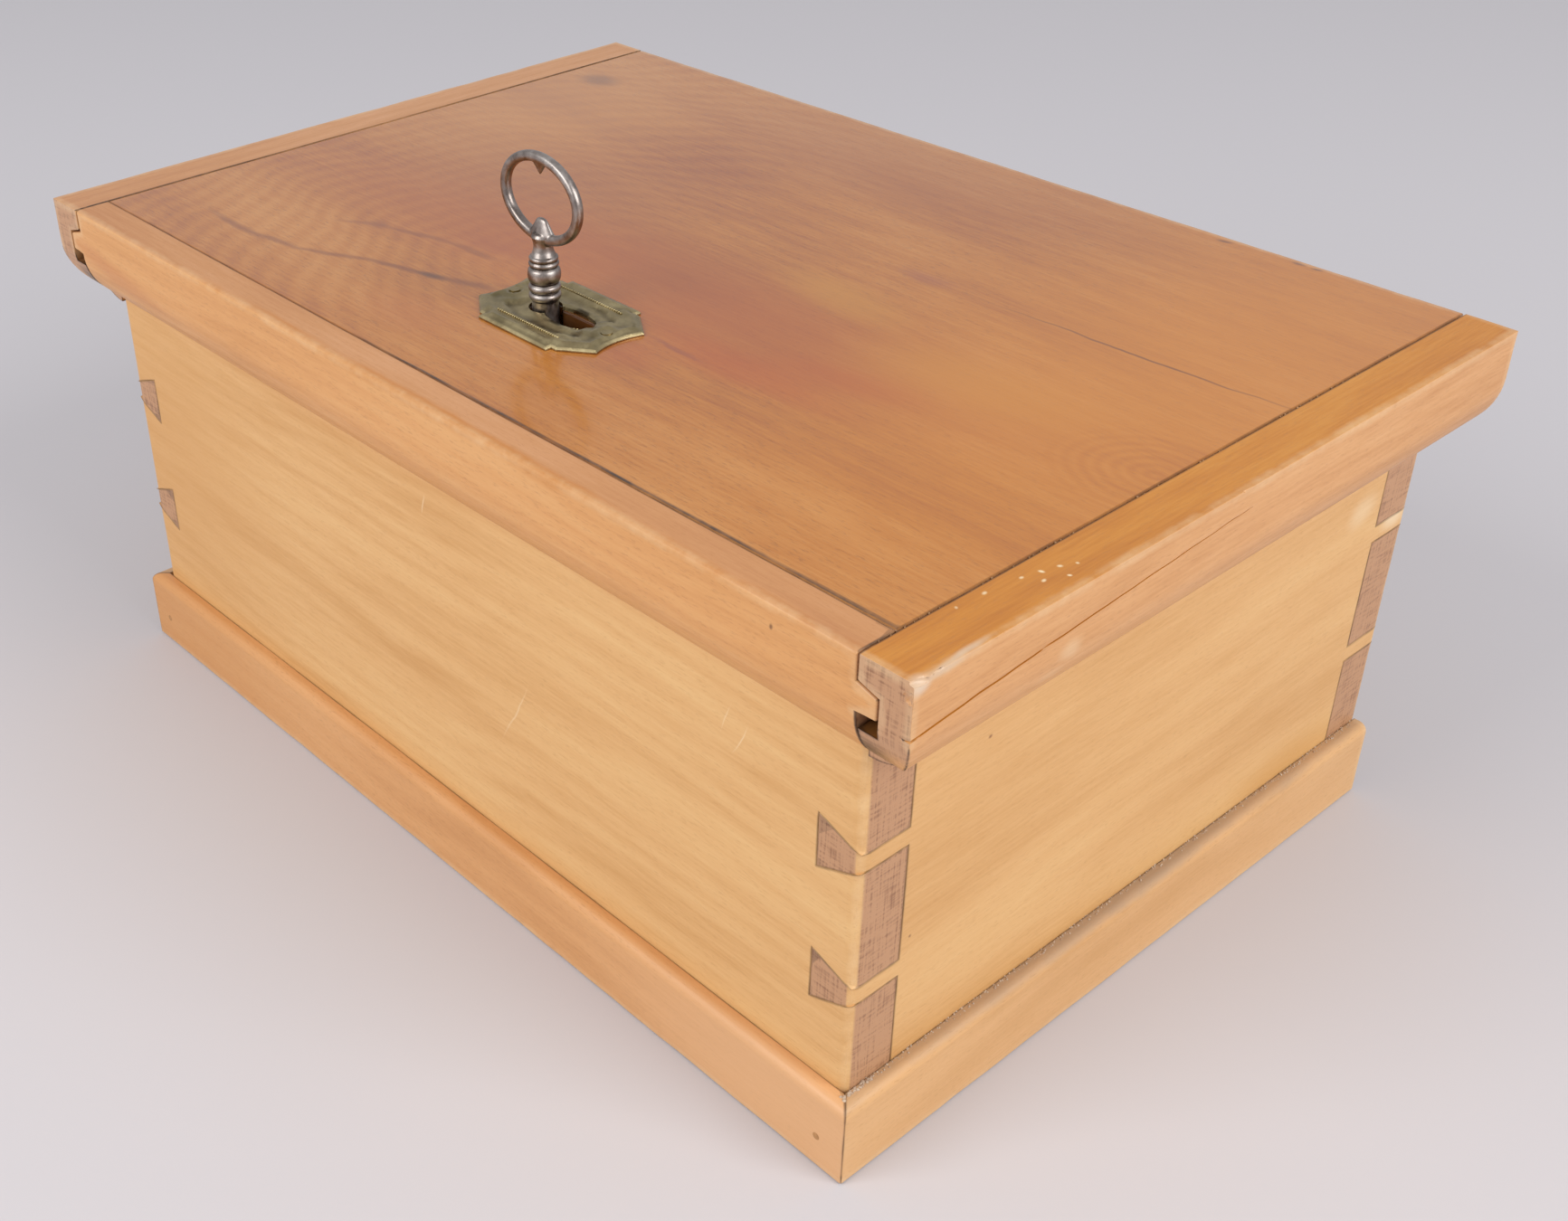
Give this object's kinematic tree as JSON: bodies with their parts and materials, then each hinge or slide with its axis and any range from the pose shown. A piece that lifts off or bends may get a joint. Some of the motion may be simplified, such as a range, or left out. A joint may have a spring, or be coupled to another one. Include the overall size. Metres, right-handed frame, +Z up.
{
  "type": "wooden money box",
  "caption": "Rectangular dovetailed wooden cash box with a moulded sliding lid that runs in grooved side rails and locks with a key in a brass plate.",
  "frame": {"origin": "on the table, under the middle of the closed box", "axes": "+X along the box to the right when facing its front, -Y out of the front that the lid slides towards, +Z up"},
  "size_m": [0.3, 0.197, 0.1711],
  "materials": {
    "wall_wood": "planed fruitwood, pale and worn, thin old finish",
    "base_wood": "planed fruitwood, orange-tan, waxed",
    "rail_wood": "moulded fruitwood, amber and polished",
    "lid_wood": "planed fruitwood, reddish brown, polished",
    "bottom_wood": "sawn and planed board, bare",
    "plate_brass": "cast and filed brass, tarnished",
    "lock_iron": "filed wrought iron, blackened",
    "key_steel": "filed and worn grey steel",
    "nail_iron": "drawn iron wire, dark"
  },
  "bodies": {
    "box": {"front_wall": "wall_wood", "back_wall": "wall_wood", "left_wall": "wall_wood", "right_wall": "wall_wood", "bottom_board": "bottom_wood", "front_plinth": "base_wood", "left_plinth": "base_wood", "right_plinth": "base_wood", "left_rail": "rail_wood", "right_rail": "rail_wood", "lock_keeper": "lock_iron", "keeper_screws": "nail_iron", "plinth_nails": "nail_iron", "rail_nails": "nail_iron", "bottom_nails": "nail_iron"},
    "lid": {"lid_panel": "lid_wood", "lid_front_strip": "rail_wood", "escutcheon": "plate_brass", "escutcheon_pins": "plate_brass", "lock_plate": "lock_iron", "lock_case": "lock_iron", "bolt_stud": "lock_iron", "bolt_spring": "key_steel", "key_pin": "lock_iron", "lock_screws": "nail_iron"},
    "bolt": {"lock_bolt": "lock_iron"},
    "key": {"key": "key_steel"}
  },
  "joints": [
    {"name": "lid_slide", "type": "slide", "parent": "box", "child": "lid", "axis": [0, -1, 0], "range_m": [0, 0.2]},
    {"name": "key_turn", "type": "hinge", "parent": "lid", "child": "key", "pos_m": [-0.005, -0.049, 0.134], "axis": [0, 0, -1], "range_deg": [0, 360]},
    {"name": "bolt_slide", "type": "slide", "parent": "lid", "child": "bolt", "axis": [-1, 0, 0], "range_m": [0, 0.008]}
  ],
  "couplings": [
    {"joint": "bolt_slide", "follows": "key_turn", "m_per_rad": 0.0012732}
  ]
}
